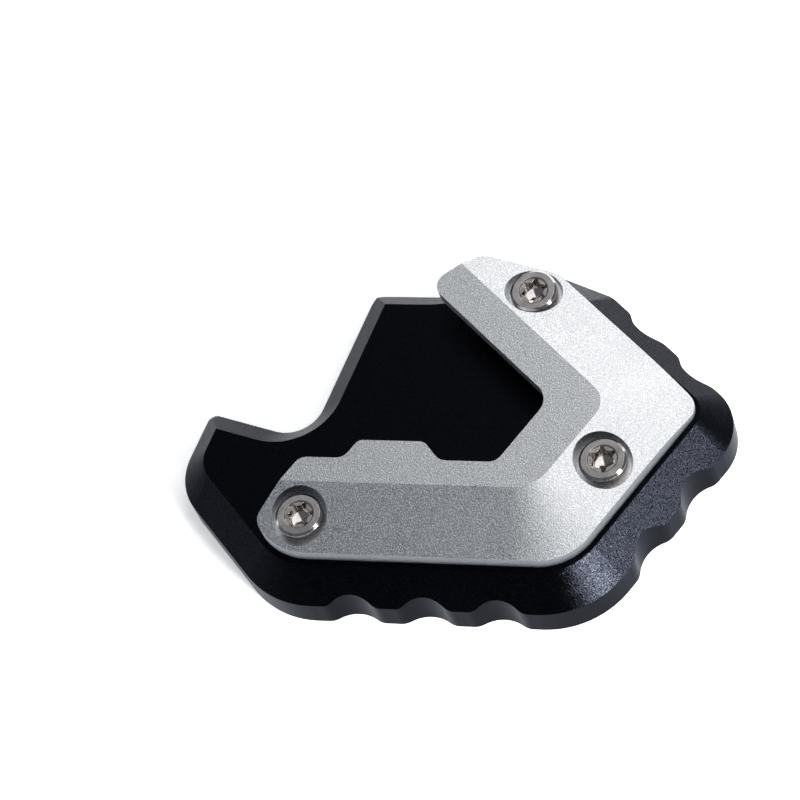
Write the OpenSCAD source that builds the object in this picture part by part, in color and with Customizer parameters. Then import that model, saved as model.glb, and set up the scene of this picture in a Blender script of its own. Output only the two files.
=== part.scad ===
// Kickstand foot enlarger: scalloped base plate, facetted clamp plate and three screws.
// Millimetres, +Z up, resting on the flat underside, front edge along X.

/* [Base plate] */
// length of the front edge between its sharp corners
front_len = 68; // [62:0.5:76]
// length of the right edge between its sharp corners
right_len = 54; // [48:0.5:60]
// length of the rear right edge between its sharp corners
rear_len = 44; // [42:0.5:50]
// length of the front left edge between its sharp corners
left_len = 37.3; // [34:0.1:42]
// length of the short left edge up to the wing end
wing_len = 18.4; // [16:0.1:24]
// height of the upright side wall
wall_h = 7; // [5:0.5:10]
// height of the bevel above the side wall
bevel_rise = 7; // [5:0.5:9]
// width of the bevel seen from above
bevel_run = 6; // [4:0.25:6.5]
// corner radius of the two front corners
front_corner_r = 20; // [16:0.5:22]
// corner radius of the right corner
right_corner_r = 11.5; // [11:0.5:13]
// corner radius of the left corner
left_corner_r = 13; // [10:0.5:15]
// radius of the milled inner corner of the leg notch
notch_r = 8; // [5:0.5:10]

/* [Scallops] */
// distance between scallops along an edge
scallop_pitch = 15.6; // [14.5:0.1:17]
// depth of a scallop
scallop_depth = 1.9; // [1:0.1:2.4]
// full width of a scallop, its rounded lips included
scallop_w = 12.6; // [11:0.1:13.5]
// radius of the hollow of a scallop
scallop_r = 7.5; // [6.5:0.1:8.5]

/* [Clamp plate] */
// margin of platform left outside the clamp plate
plate_margin = 1.2; // [0.8:0.1:2]
// how far the clamp plate sits to the right of centre on its platform
plate_right = 0.2; // [-0.3:0.1:0.3]
// how far the clamp plate sits to the rear of centre on its platform
plate_back = 0.2; // [-0.3:0.1:0.3]
// height of the clamp plate's outer side wall
plate_edge_h = 3; // [2.5:0.25:4]
// height of the sloping facets
facet_rise = 5; // [4:0.25:6]
// width of the sloping facets seen from above
facet_run = 14; // [13.5:0.25:16]
// thickness of the clamping lip over the stand foot
lip_t = 3; // [2.5:0.25:4]
// flat width of the front arm behind its facet
front_band = 5.7; // [5:0.1:7]
// flat width of the right side behind its facet
right_band = 10.4; // [9:0.1:11]
// flat width of the rear arm behind its facet
rear_band = 8.1; // [7:0.1:9]
// reach of the small tab on the front arm
tab_reach = 4.3; // [3.5:0.1:5]
// radius of the ridge at the front right corner
ridge_front_r = 8; // [5:0.5:10]
// radius of the ridge at the right corner
ridge_right_r = 5; // [3:0.5:6]

/* [Screws] */
// thread diameter
screw_d = 6; // [5:0.5:6]
// length below the head
screw_len = 12; // [10:0.5:13]
// diameter of the flat head
head_d = 10; // [9:0.25:10.5]
// height of the head
head_h = 3.7; // [3.3:0.1:4]
// width of the bevel round the head
head_bevel = 0.5; // [0.3:0.05:0.7]
// width across the six lobes of the recess
lobe_d = 5.9; // [5:0.1:6]
// depth of the six-lobe recess
lobe_depth = 2.3; // [1.8:0.1:2.6]
// diameter of the counterbores
counterbore_d = 12; // [11.5:0.25:12.5]
// height of the counterbore floor above the platform
seat_h = 2.5; // [2:0.1:2.8]
// clearance across the screw in its plate hole
hole_clear = 0.6; // [0.4:0.1:1]
// clearance across the screw in its base hole
thread_clear = 0.1; // [0.04:0.02:0.2]
// distance of the screws from the outer edges of the clamp plate
screw_inset = 7.2; // [7:0.1:7.6]
// place of the front screw along the front edge
screw_front_at = 6.9; // [6.5:0.1:9]
// place of the side screw along the right edge
screw_side_at = 25.5; // [24:0.1:28]
// place of the rear screw along the rear right edge
screw_rear_at = 50.1; // [48.5:0.1:50.5]

/* [Hidden] */
$fn = 96;
e = 0.01;
// tiny oversize of each rounding, so that it crosses the faces it meets and never just touches them
seam = 0.002;

// edge directions of the outline, seen from above
a_front = 0;
a_right = 58.5;
a_rear = 137.8;
a_tail = 158.2;
a_left = 133.5;
a_wing = 75.6;
a_end = 170.8;
a_tip = 219.7;
a_tab = 131;

base_h = wall_h + bevel_rise;
plate_h = plate_edge_h + facet_rise;
plate_in = bevel_run + plate_margin;
tail_len = 12.1;
notch_len = 23.7;
back_len = 37.2;
crest_len = 15.4;

// small corner radii at the back of the base outline
rear_corner_r = 6;
tail_r = 3;
crest_r = 18;
back_r = 4;
wing_r = 2;

// small corner radii of the clamp plate
plate_end_r = 4;
plate_tip_r = 4;
plate_nose_r = 3.3;
plate_inner_r = 4.5;
plate_bend_r = 3;
tab_foot_r = 3.5;
tab_side_r = 2.5;
tab_top_r = 1.8;
plate_arm_r = 3;

// how far each row of scallops stands from the middle of its edge
front_row_shift = -0.9;
right_row_shift = 0.7;
rear_row_shift = 2.9;

// left end of the hollow under the lip, and the radius of its corners
hollow_left = 11;
hollow_r = 4;

// how far each screw happens to be turned
turn_front = 12;
turn_side = 40;
turn_rear = 25;

function dir(a) = [cos(a), sin(a)];
function inward(a) = [-sin(a), cos(a)];
function cross2(p, q) = p[0] * q[1] - p[1] * q[0];
// meeting point of two lines, each given as a point and an angle
function meet(p, a, q, b) = p + dir(a) * cross2(q - p, dir(b)) / cross2(dir(a), dir(b));

// sharp corners of the base outline, against the clock from the front left
v_fl = [0, 0];
v_fr = v_fl + front_len * dir(a_front);
v_right = v_fr + right_len * dir(a_right);
v_rear = v_right + rear_len * dir(a_rear);
v_tail = v_rear + tail_len * dir(a_tail);
v_left = v_fl + left_len * dir(a_left);
v_wing = v_left + wing_len * dir(a_wing);
v_notch = v_wing + notch_len * dir(a_wing - 90);
v_back = v_notch + back_len * dir(a_wing);
v_crest = v_back + crest_len * dir(a_front);

base_pts = [v_fl, v_fr, v_right, v_rear, v_tail, v_crest, v_back, v_notch, v_wing, v_left];
base_rad = [
    front_corner_r, front_corner_r, right_corner_r, rear_corner_r, tail_r,
    crest_r, back_r, notch_r, wing_r, left_corner_r
];

// middle of the outline's bounding box, so that the object stands centred on the origin
x_min = (v_left + left_corner_r * corner_dir(base_pts, 9))[0] - left_corner_r;
x_max = (v_right + right_corner_r * corner_dir(base_pts, 2))[0] + right_corner_r;
y_max = (v_tail + tail_r * corner_dir(base_pts, 4))[1] + tail_r;
centre = [(x_min + x_max) / 2, y_max / 2];

// turn of the outline at a corner, and the vector from the corner to its arc centre at radius 1
function turn_at(p, i) = let (
    n = len(p),
    u = p[i] - p[(i + n - 1) % n],
    w = p[(i + 1) % n] - p[i]
) atan2(cross2(u, w), u * w);
function head_at(p, i) = let (w = p[(i + 1) % len(p)] - p[i]) atan2(w[1], w[0]);
function corner_dir(p, i) = let (
    t = turn_at(p, i),
    h = head_at(p, i)
) sign(t) * inward(h) + abs(tan(t / 2)) * dir(h);
function tangent_len(p, r, i) = r[i] * abs(tan(turn_at(p, i) / 2));

// outline with true arcs at its corners
module rounded_outline(p, r) {
    n = len(p);
    difference() {
        polygon([for (i = [0:n - 1]) for (k = [0, 1]) turn_at(p, i) > 0 ? p[i]
            : k == 0 ? p[i] - tangent_len(p, r, i) * dir(head_at(p, (i + n - 1) % n))
            : p[i] + tangent_len(p, r, i) * dir(head_at(p, i))]);
        for (i = [0:n - 1]) {
            h1 = head_at(p, (i + n - 1) % n);
            h2 = head_at(p, i);
            t1 = p[i] - tangent_len(p, r, i) * dir(h1);
            t2 = p[i] + tangent_len(p, r, i) * dir(h2);
            c = p[i] + r[i] * corner_dir(p, i);
            if (turn_at(p, i) < 0)
                translate(c)
                    circle(r = r[i] + seam);
            else
                difference() {
                    polygon([t1, t1 - inward(h1), 2 * p[i] - c, t2 - inward(h2), t2]);
                    translate(c)
                        circle(r = r[i] + seam);
                }
        }
    }
}

// prism along a line: the section's x runs inward from the line, its y runs up
module along(p, a, len) {
    translate([p[0], p[1], 0])
        rotate([0, 0, a])
            rotate([90, 0, 90])
                linear_extrude(height = len)
                    children();
}

// everything outside the bevel that runs round the base outline
module bevel_waste(p, r) {
    n = len(p);
    top = bevel_rise + 1;
    for (i = [0:n - 1]) {
        j = (i + 1) % n;
        h = head_at(p, i);
        s0 = turn_at(p, i) > 0 ? -9 : tangent_len(p, r, i);
        s1 = turn_at(p, j) > 0 ? -9 : tangent_len(p, r, j);
        translate([0, 0, wall_h])
            along(p[i] + s0 * dir(h), h, norm(p[j] - p[i]) - s0 - s1)
                polygon([[-1, -bevel_rise / bevel_run], [-1, top], [bevel_run * top / bevel_rise, top]]);
        c = p[i] + r[i] * corner_dir(p, i);
        t = turn_at(p, i);
        start = head_at(p, (i + n - 1) % n) - 90;
        if (t > 0)
            translate([c[0], c[1], wall_h])
                rotate([0, 0, start])
                    rotate_extrude(angle = t)
                        corner_section(r[i] + seam, top);
        else
            translate([c[0], c[1], wall_h])
                rotate([0, 0, start + 180 + t - 5])
                    rotate_extrude(angle = 10 - t)
                        polygon([[0, -1], [r[i] + seam - bevel_run / bevel_rise, -1],
                            [r[i] + seam + bevel_run * top / bevel_rise, top], [0, top]]);
    }
}

// section of the waste at an outer corner, down to the cone's point where the radius is small
module corner_section(r, top) {
    slope = bevel_run / bevel_rise;
    far = r + 4;
    if (r - slope * top > 0)
        polygon([[r + slope, -1], [far, -1], [far, top], [r - slope * top, top]]);
    else
        polygon([[r + slope, -1], [far, -1], [far, top], [0, top], [0, r / slope]]);
}

// one scallop cutter, the edge along x and the metal on the +y side
module scallop() {
    lip_r = ((scallop_w / 2) * (scallop_w / 2) + scallop_depth * scallop_depth)
        / (2 * scallop_depth) - scallop_r;
    k = scallop_r / (scallop_r + lip_r);
    w = scallop_w / 2;
    yt = k * (lip_r + scallop_r - scallop_depth) - (scallop_r - scallop_depth);
    translate([0, 0, -1])
        linear_extrude(height = base_h + 2)
            union() {
                difference() {
                    polygon([[-w, -3], [w, -3], [w, 0], [k * w, yt], [-k * w, yt], [-w, 0]]);
                    for (s = [-1, 1])
                        translate([s * w, lip_r])
                            circle(r = lip_r + seam);
                }
                intersection() {
                    translate([0, scallop_depth - scallop_r])
                        circle(r = scallop_r + 2 * seam);
                    translate([-w, yt - 0.3])
                        square([2 * w, scallop_depth]);
                }
            }
}

module scallop_row(p, a, first, count) {
    for (i = [0:count - 1]) {
        q = p + (first + i * scallop_pitch) * dir(a);
        translate([q[0], q[1], 0])
            rotate([0, 0, a])
                scallop();
    }
}

// outside lines of the clamp plate, set in from the base edges
shift = [plate_right, plate_back];
f_line = v_fl + shift + plate_in * inward(a_front);
r_line = v_fr + shift + plate_in * inward(a_right);
u_line = v_right + shift + plate_in * inward(a_rear);
l_line = v_fl + plate_in * inward(a_left + 180);

// places of the three screws
q_front = f_line + screw_front_at * dir(a_front) + screw_inset * inward(a_front);
q_side = r_line + screw_side_at * dir(a_right) + screw_inset * inward(a_right);
q_rear = u_line + screw_rear_at * dir(a_rear) + screw_inset * inward(a_rear);
screw_at = [q_front, q_side, q_rear];

module placed() {
    translate([-centre[0], -centre[1], 0])
        children();
}

module base_plate() {
    hole_d = screw_d + thread_clear;
    tip_z = base_h + seat_h - screw_len - 1;
    color([0.09, 0.09, 0.1])
        placed()
            difference() {
                linear_extrude(height = base_h)
                    rounded_outline(base_pts, base_rad);
                bevel_waste(base_pts, base_rad);
                scallop_row(v_fl, a_front, front_len / 2 - scallop_pitch + front_row_shift, 3);
                scallop_row(v_fr, a_right, right_len / 2 - scallop_pitch / 2 + right_row_shift, 2);
                scallop_row(v_right, a_rear, rear_len / 2 - scallop_pitch / 2 + rear_row_shift, 2);
                for (q = screw_at) {
                    translate([q[0], q[1], tip_z])
                        cylinder(d = hole_d, h = base_h);
                    translate([q[0], q[1], tip_z - hole_d * 0.3])
                        cylinder(d1 = 0.2, d2 = hole_d, h = hole_d * 0.3 + e);
                }
            }
}

// inner lines of the clamp plate and the sharp corners of its outline
f_inner = f_line + (facet_run + front_band) * inward(a_front);
r_inner = r_line + (facet_run + right_band) * inward(a_right);
u_inner = u_line + (facet_run + rear_band) * inward(a_rear);
arm_end = [1.7, 20.5];
tip_end = [37.6, 77.9];
tab_left = [15.1, f_inner[1]];
tab_right = [35.6, f_inner[1]];
tab_top = f_inner + [0, tab_reach];

p_fl = meet(f_line, a_front, l_line, a_left);
p_fr = meet(f_line, a_front, r_line, a_right);
p_right = meet(r_line, a_right, u_line, a_rear);
p_end = meet(u_line, a_rear, tip_end, a_end);
p_tip = tip_end;
p_nose = meet(u_inner, a_rear, tip_end, a_tip);
p_in_right = meet(r_inner, a_right, u_inner, a_rear);
p_in_fr = meet(f_inner, a_front, r_inner, a_right);
p_arm_in = meet(f_inner, a_front, arm_end, a_right);
p_arm = meet(arm_end, a_right, l_line, a_left);

plate_pts = [
    p_fl, p_fr, p_right, p_end, p_tip, p_nose, p_in_right, p_in_fr,
    tab_right, meet(tab_right, a_tab, tab_top, a_front),
    meet(tab_left, a_right, tab_top, a_front), tab_left,
    p_arm_in, p_arm
];
plate_rad = [
    front_corner_r - plate_in, front_corner_r - plate_in, right_corner_r - plate_in,
    plate_end_r, plate_tip_r, plate_nose_r, plate_inner_r, plate_bend_r, tab_foot_r,
    tab_side_r, tab_top_r, plate_bend_r, plate_bend_r, plate_arm_r
];

// waste above one sloping facet, given by its outside line
module facet_waste(p, a, before, len) {
    k = facet_rise / facet_run;
    along(p - before * dir(a), a, len)
        polygon([[-3, plate_edge_h - 3 * k], [facet_run + 1 / k, plate_h + 1], [-3, plate_h + 1]]);
}

// waste above the cone that joins two facets at a corner, r being its radius at the outside line
module fan_waste(v, a1, a2, r) {
    half = (a2 - a1) / 2;
    c = v + r * inward(a2) + r * tan(half) * dir(a2);
    slope = facet_run / facet_rise;
    drop = 2.2;
    rim = r + seam;
    translate([c[0], c[1], plate_edge_h])
        rotate([0, 0, a1 - 90])
            rotate_extrude(angle = a2 - a1)
                polygon([[rim + drop * slope, -drop], [rim + drop * slope, facet_rise + 1],
                    [rim - facet_run - slope, facet_rise + 1]]);
}

// hollow under the lip that takes the flange of the stand's foot
hollow_in = facet_run + 1;
f_hollow = f_line + hollow_in * inward(a_front);
r_hollow = r_line + hollow_in * inward(a_right);
u_hollow = u_line + hollow_in * inward(a_rear);
hollow_pts = [
    meet(f_hollow, a_front, [hollow_left, 0], 90),
    meet(f_hollow, a_front, r_hollow, a_right),
    meet(r_hollow, a_right, u_hollow, a_rear),
    u_hollow + 62 * dir(a_rear),
    [hollow_left, 80]
];

module top_plate() {
    color([0.78, 0.79, 0.79])
        placed()
            translate([0, 0, base_h])
                difference() {
                    linear_extrude(height = plate_h)
                        rounded_outline(plate_pts, plate_rad);
                    facet_waste(f_line, a_front, 40, 160);
                    facet_waste(r_line, a_right, 40, 140);
                    facet_waste(u_line, a_rear, 40, 140);
                    fan_waste(p_fr, a_front, a_right, ridge_front_r + facet_run);
                    fan_waste(p_right, a_right, a_rear, ridge_right_r + facet_run);
                    translate([0, 0, -1])
                        linear_extrude(height = plate_h - lip_t + 1)
                            rounded_outline(hollow_pts, [hollow_r, hollow_r, hollow_r, 1, 1]);
                    for (q = screw_at) {
                        translate([q[0], q[1], -1])
                            cylinder(d = screw_d + hole_clear, h = plate_h);
                        translate([q[0], q[1], seat_h])
                            cylinder(d = counterbore_d, h = plate_h);
                    }
                }
}

// six-lobe outline of the driving recess
module lobes(d) {
    r_in = 0.216 * d;
    difference() {
        circle(d = d);
        for (i = [0:5])
            rotate([0, 0, 30 + 60 * i])
                translate([0.357 * d + r_in, 0])
                    circle(r = r_in, $fn = 48);
    }
}

// one screw standing with the underside of its head at z = 0
module screw_body() {
    difference() {
        union() {
            rotate_extrude()
                polygon([
                    [0, 0], [head_d / 2, 0], [head_d / 2, head_h - head_bevel],
                    [head_d / 2 - head_bevel, head_h], [0, head_h]
                ]);
            translate([0, 0, 0.7 - screw_len])
                cylinder(d = screw_d, h = screw_len - 0.6);
            translate([0, 0, -screw_len])
                cylinder(d1 = screw_d - 1.4, d2 = screw_d, h = 0.7);
        }
        translate([0, 0, head_h - lobe_depth])
            linear_extrude(height = lobe_depth + 1)
                lobes(lobe_d);
        translate([0, 0, head_h - 0.25])
            cylinder(d1 = lobe_d, d2 = lobe_d + 0.6, h = 0.25 + e);
        translate([0, 0, head_h - lobe_depth - 0.7])
            cylinder(d1 = 0.4, d2 = 0.66 * lobe_d, h = 0.7 + e);
    }
}

module screw(q, a) {
    color([0.72, 0.71, 0.69])
        placed()
            translate([q[0], q[1], base_h + seat_h])
                rotate([0, 0, a])
                    screw_body();
}

module screw_front() {
    screw(q_front, turn_front);
}

module screw_side() {
    screw(q_side, turn_side);
}

module screw_rear() {
    screw(q_rear, turn_rear);
}

base_plate();
top_plate();
screw_front();
screw_side();
screw_rear();
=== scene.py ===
import math

import bpy
from mathutils import Matrix, Vector


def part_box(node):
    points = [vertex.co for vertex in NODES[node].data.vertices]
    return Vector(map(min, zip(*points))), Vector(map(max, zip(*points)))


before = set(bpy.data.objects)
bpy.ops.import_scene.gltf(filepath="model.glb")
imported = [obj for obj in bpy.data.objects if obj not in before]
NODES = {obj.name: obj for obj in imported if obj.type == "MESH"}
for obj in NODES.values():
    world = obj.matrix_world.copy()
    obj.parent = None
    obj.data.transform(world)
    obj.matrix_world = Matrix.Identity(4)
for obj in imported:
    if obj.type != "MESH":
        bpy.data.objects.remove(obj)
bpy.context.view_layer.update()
SCREWS = ("screw_front", "screw_side", "screw_rear")
MM = 0.001

# most of a noise pattern lies between these two levels
NOISE_LOW, NOISE_HIGH = 0.3, 0.7
# a face stands upright when its normal has less height than this
UPRIGHT = 0.3
# a little more than the radius of a counterbore, 6 mm
BORE_REACH = 6.2 * MM


def linear(hex_colour):
    """An sRGB hex colour as linear RGBA."""
    parts = [int(hex_colour[i:i + 2], 16) / 255 for i in (1, 3, 5)]
    return tuple(c / 12.92 if c <= 0.04045 else ((c + 0.055) / 1.055) ** 2.4 for c in parts) + (1.0,)


def add(mat, kind, settings=None, stops=None, **inputs):
    """One node with its settings, its colour stops and its inputs, each a value or (node, output name)."""
    node = mat.node_tree.nodes.new(kind)
    for name, value in (settings or {}).items():
        setattr(node, name, value)
    for place, colour in stops or []:
        first = node.color_ramp.elements[0] if place == stops[0][0] else node.color_ramp.elements.new(place)
        first.position = place
        first.color = linear(colour)
    if stops:
        node.color_ramp.elements.remove(node.color_ramp.elements[-1])
    for name, value in inputs.items():
        socket = node.inputs[name.replace("_", " ")]
        if isinstance(value, tuple) and hasattr(value[0], "outputs"):
            mat.node_tree.links.new(value[0].outputs[value[1]], socket)
        else:
            socket.default_value = value
    return node


def material(name):
    """A material with an empty node tree."""
    mat = bpy.data.materials.new(name)
    mat.use_nodes = True
    mat.node_tree.nodes.clear()
    return mat


def bead_blasted(name, dark, light, rough, levels, tint, grain, depth):
    """Bead-blasted and anodised aluminium: fine dimples that break a reflection up into glitter.
    The dimples are drawn about 0.3 mm wide, coarser than the real ones, so that the glitter shows.
    The tone goes from dark to light between two levels of the dimple pattern, and rough is the
    roughness at each of them. Grain and depth are in millimetres."""
    hand_mark = 11 * MM
    mat = material(name)
    where = add(mat, "ShaderNodeTexCoord")
    dimples = add(mat, "ShaderNodeTexNoise", Vector=(where, "Object"), Scale=1 / (grain * MM),
                  Detail=1.5, Roughness=0.7)
    handling = add(mat, "ShaderNodeTexNoise", Vector=(where, "Object"), Scale=1 / hand_mark,
                   Detail=4.0, Roughness=0.55)
    tone = add(mat, "ShaderNodeValToRGB", Fac=(dimples, "Fac"), stops=[(levels[0], dark), (levels[1], light)])
    glitter = add(mat, "ShaderNodeMapRange", Value=(dimples, "Fac"), From_Min=levels[0], From_Max=levels[1],
                  To_Min=rough[0], To_Max=rough[1])
    smudges = add(mat, "ShaderNodeMapRange", Value=(handling, "Fac"), From_Min=NOISE_LOW,
                  From_Max=NOISE_HIGH, To_Min=-0.02, To_Max=0.03)
    # the sum's two inputs have one name, so they are linked by number
    shine = add(mat, "ShaderNodeVectorMath", {"operation": "ADD"})
    mat.node_tree.links.new(glitter.outputs["Result"], shine.inputs[0])
    mat.node_tree.links.new(smudges.outputs["Result"], shine.inputs[1])
    bump = add(mat, "ShaderNodeBump", Height=(dimples, "Fac"), Distance=depth * MM, Strength=1.0)
    skin = add(mat, "ShaderNodeBsdfPrincipled", Base_Color=(tone, "Color"), Metallic=1.0,
               Roughness=(shine, "Vector"), Normal=(bump, "Normal"), Specular_Tint=linear(tint))
    add(mat, "ShaderNodeOutputMaterial", Surface=(skin, "BSDF"))
    return mat


def milled(name, dark, light, metal, rough, tint):
    """Anodised aluminium left as the side of the cutter made it: smooth, with faint upright cutter marks."""
    mark_width = 0.5 * MM
    mark_depth = 0.003 * MM
    mark_stretch = 0.08
    mat = material(name)
    where = add(mat, "ShaderNodeTexCoord")
    upright = add(mat, "ShaderNodeMapping", Vector=(where, "Object"), Scale=(1.0, 1.0, mark_stretch))
    marks = add(mat, "ShaderNodeTexNoise", Vector=(upright, "Vector"), Scale=1 / mark_width,
                Detail=3.0, Roughness=0.6)
    tone = add(mat, "ShaderNodeValToRGB", Fac=(marks, "Fac"), stops=[(NOISE_LOW, dark), (NOISE_HIGH, light)])
    shine = add(mat, "ShaderNodeMapRange", Value=(marks, "Fac"), From_Min=NOISE_LOW, From_Max=NOISE_HIGH,
                To_Min=rough - 0.03, To_Max=rough + 0.04)
    bump = add(mat, "ShaderNodeBump", Height=(marks, "Fac"), Distance=mark_depth, Strength=1.0)
    skin = add(mat, "ShaderNodeBsdfPrincipled", Base_Color=(tone, "Color"), Metallic=metal,
               Roughness=(shine, "Result"), Normal=(bump, "Normal"), Specular_Tint=linear(tint))
    add(mat, "ShaderNodeOutputMaterial", Surface=(skin, "BSDF"))
    return mat


def turned_steel(name, dark, light, rough):
    """Turned stainless steel with a satin top: warm grey, with bright glints on rims and in the recess."""
    satin_grain = 0.3 * MM
    satin_depth = 0.006 * MM
    stain_width = 2.5 * MM
    rim_radius = 0.12 * MM
    mat = material(name)
    where = add(mat, "ShaderNodeTexCoord")
    satin = add(mat, "ShaderNodeTexNoise", Vector=(where, "Object"), Scale=1 / satin_grain,
                Detail=3.0, Roughness=0.6)
    stains = add(mat, "ShaderNodeTexNoise", Vector=(where, "Object"), Scale=1 / stain_width,
                 Detail=2.0, Roughness=0.5)
    tone = add(mat, "ShaderNodeValToRGB", Fac=(stains, "Fac"), stops=[(NOISE_LOW, dark), (NOISE_HIGH, light)])
    shine = add(mat, "ShaderNodeMapRange", Value=(satin, "Fac"), From_Min=NOISE_LOW, From_Max=NOISE_HIGH,
                To_Min=rough - 0.04, To_Max=rough + 0.05)
    eased = add(mat, "ShaderNodeBevel", {"samples": 6}, Radius=rim_radius)
    bump = add(mat, "ShaderNodeBump", Height=(satin, "Fac"), Distance=satin_depth, Strength=1.0,
               Normal=(eased, "Normal"))
    skin = add(mat, "ShaderNodeBsdfPrincipled", Base_Color=(tone, "Color"), Metallic=1.0,
               Roughness=(shine, "Result"), Normal=(bump, "Normal"))
    add(mat, "ShaderNodeOutputMaterial", Surface=(skin, "BSDF"))
    return mat


# the black dye in the oxide soaks up light, also at low angles: hence the dark base and the grey edge tint
black_blasted = bead_blasted("black anodised aluminium, bead blasted", dark="#06070a", light="#1b1c21",
                             rough=(0.28, 0.10), levels=(0.36, 0.64), tint="#c2c2c4", grain=0.28, depth=0.08)
black_milled = milled("black anodised aluminium, milled", dark="#0d0d0f", light="#121214",
                      metal=1.0, rough=0.34, tint="#cfd1d6")
# clear oxide keeps the metal's silver: a few light, rough dimples glint on a darker and smoother ground
silver_blasted = bead_blasted("clear anodised aluminium, bead blasted", dark="#bbbcbd", light="#f4f4f4",
                              rough=(0.28, 0.46), levels=(0.44, 0.66), tint="#ffffff", grain=0.29, depth=0.10)
# the milled edge is an even satin grey, and the bored walls mirror more, from light to dark round each head
silver_milled = milled("clear anodised aluminium, milled", dark="#90949a", light="#9ca0a6",
                       metal=0.35, rough=0.42, tint="#ffffff")
# the bored walls' lighter tone than the milled edge is a painted highlight; their full metal and lower
# roughness are the bored finish
silver_bored_with_painted_highlight = milled("clear anodised aluminium, bored", dark="#c6cad0", light="#d2d6dc",
                      metal=1.0, rough=0.22, tint="#ffffff")
steel = turned_steel("stainless steel, turned", dark="#a6a09c", light="#c2bcb8", rough=0.12)

# blasted faces take the first slot, milled upright faces the second
finishes = {"base_plate": (black_blasted, black_milled),
            "top_plate": (silver_blasted, silver_milled, silver_bored_with_painted_highlight)}
finishes.update({screw: (steel,) for screw in SCREWS})
for node, skins in finishes.items():
    mesh = NODES[node].data
    mesh.materials.clear()
    for skin in skins:
        mesh.materials.append(skin)
    for face in mesh.polygons:
        face.material_index = 1 if len(skins) > 1 and abs(face.normal.z) < UPRIGHT else 0

# the walls of the counterbores, round the axis of each screw, take the third slot
# these walls get the lighter bored finish, whose lighter tone is a painted highlight
for screw in SCREWS:
    screw_low, screw_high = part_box(screw)
    axis = (Vector(screw_low) + Vector(screw_high)) / 2
    for face in NODES["top_plate"].data.polygons:
        if face.material_index == 1 and (face.center - axis).xy.length < BORE_REACH:
            face.material_index = 2

# the floor is a matt card that glows a little, so that it stays as white as the photograph's ground
card = material("matt white card")
spot = add(card, "ShaderNodeTexCoord")
fibre_width = 4 * MM
fibres = add(card, "ShaderNodeTexNoise", Vector=(spot, "Object"), Scale=1 / fibre_width, Detail=3.0)
paper = add(card, "ShaderNodeValToRGB", Fac=(fibres, "Fac"),
            stops=[(NOISE_LOW, "#f6f6f6"), (NOISE_HIGH, "#fbfbfb")])
matt = add(card, "ShaderNodeBsdfPrincipled", Base_Color=(paper, "Color"), Roughness=0.9,
           Specular_IOR_Level=0.0, Emission_Color=(paper, "Color"), Emission_Strength=0.5)
add(card, "ShaderNodeOutputMaterial", Surface=(matt, "BSDF"))
floor_size = 12.0
floor_drop = 0.02 * MM
bpy.ops.mesh.primitive_plane_add(size=floor_size, location=(0, 0, -floor_drop))
floor = bpy.context.object
floor.name = "floor"
floor.data.materials.append(card)

world = bpy.data.worlds.new("studio")
bpy.context.scene.world = world
world.use_nodes = True
world.node_tree.nodes["Background"].inputs["Color"].default_value = linear("#e6f0ff")
world.node_tree.nodes["Background"].inputs["Strength"].default_value = 0.2


def softbox(name, centre, aim, size, radiance):
    """A rectangular softbox of an even radiance, turned to a point on the part, in metres."""
    lamp_data = bpy.data.lights.new(name, "AREA")
    lamp_data.shape = "RECTANGLE"
    lamp_data.size, lamp_data.size_y = size
    lamp_data.energy = radiance * math.pi * size[0] * size[1]
    lamp = bpy.data.objects.new(name, lamp_data)
    bpy.context.scene.collection.objects.link(lamp)
    lamp.location = centre
    lamp.rotation_euler = (Vector(centre) - Vector(aim)).to_track_quat("Z", "Y").to_euler()
    return lamp


def towards(azimuth, height, distance):
    """A point that far away, at an azimuth from +X and a height above the horizon, both in degrees."""
    a, h = math.radians(azimuth), math.radians(height)
    reach = distance * math.cos(h)
    return (reach * math.cos(a), reach * math.sin(a), distance * math.sin(h))


def keep_off(lamp, nodes):
    """A flag between a softbox and some nodes, which its light then doesn't reach."""
    flagged = bpy.data.collections.new(lamp.name + " flag")
    for node in nodes:
        flagged.objects.link(NODES[node])
    for shaded in flagged.collection_objects:
        shaded.light_linking.link_state = "EXCLUDE"
    lamp.light_linking.receiver_collection = flagged


# each softbox stands where faces that are bright in the photograph mirror it
softbox("long overhead", (0.50, 1.30, 1.0), (0.50, 1.30, 0.0), (0.86, 3.5), 1.75)
softbox("dim overhead", (-0.42, 1.00, 1.0), (-0.42, 1.00, 0.0), (0.92, 1.1), 0.42)
softbox("back", towards(85, 33, 2.0), (0, 0, 0), (1.2, 0.7), 1.1)
right_core = softbox("right core", towards(-36, 20, 1.4), (0, 0, 0), (0.36, 0.40), 112.0)
right_wing = softbox("right wing", towards(-20, 20, 1.4), (0, 0, 0), (0.32, 0.40), 30.0)

# the two low softboxes model the black edge; without flags they would glare on the silver plate
keep_off(right_core, ("top_plate", *SCREWS))
keep_off(right_wing, ("top_plate",))

# the camera's lens and place were found from edges in the photograph: the focal length in its pixels,
# the place and the part's middle in millimetres in the drawing that was laid over it
PHOTO_WIDTH = 800
FOCAL_PIXELS = 3219.8
drawing_middle = Vector((13.817, -9.311, 0))
drawing_place = Vector((182.2, -321.6, 587.3))
lens = bpy.data.cameras.new("camera")
lens.sensor_width = 36.0
lens.lens = FOCAL_PIXELS / PHOTO_WIDTH * lens.sensor_width
lens.clip_start = 0.01
camera = bpy.data.objects.new("camera", lens)
bpy.context.scene.collection.objects.link(camera)
right = Vector((0.9641, 0.1473, -0.2211)).normalized()
look = Vector((-0.2648, 0.4675, -0.8434)).normalized()
up = -look.cross(right).normalized()
right = look.cross(up).normalized()
place = (drawing_place - drawing_middle) * MM
camera.matrix_world = Matrix.Translation(place) @ Matrix((right, up, -look)).transposed().to_4x4()
bpy.context.scene.camera = camera
bpy.context.scene.view_settings.view_transform = "Standard"
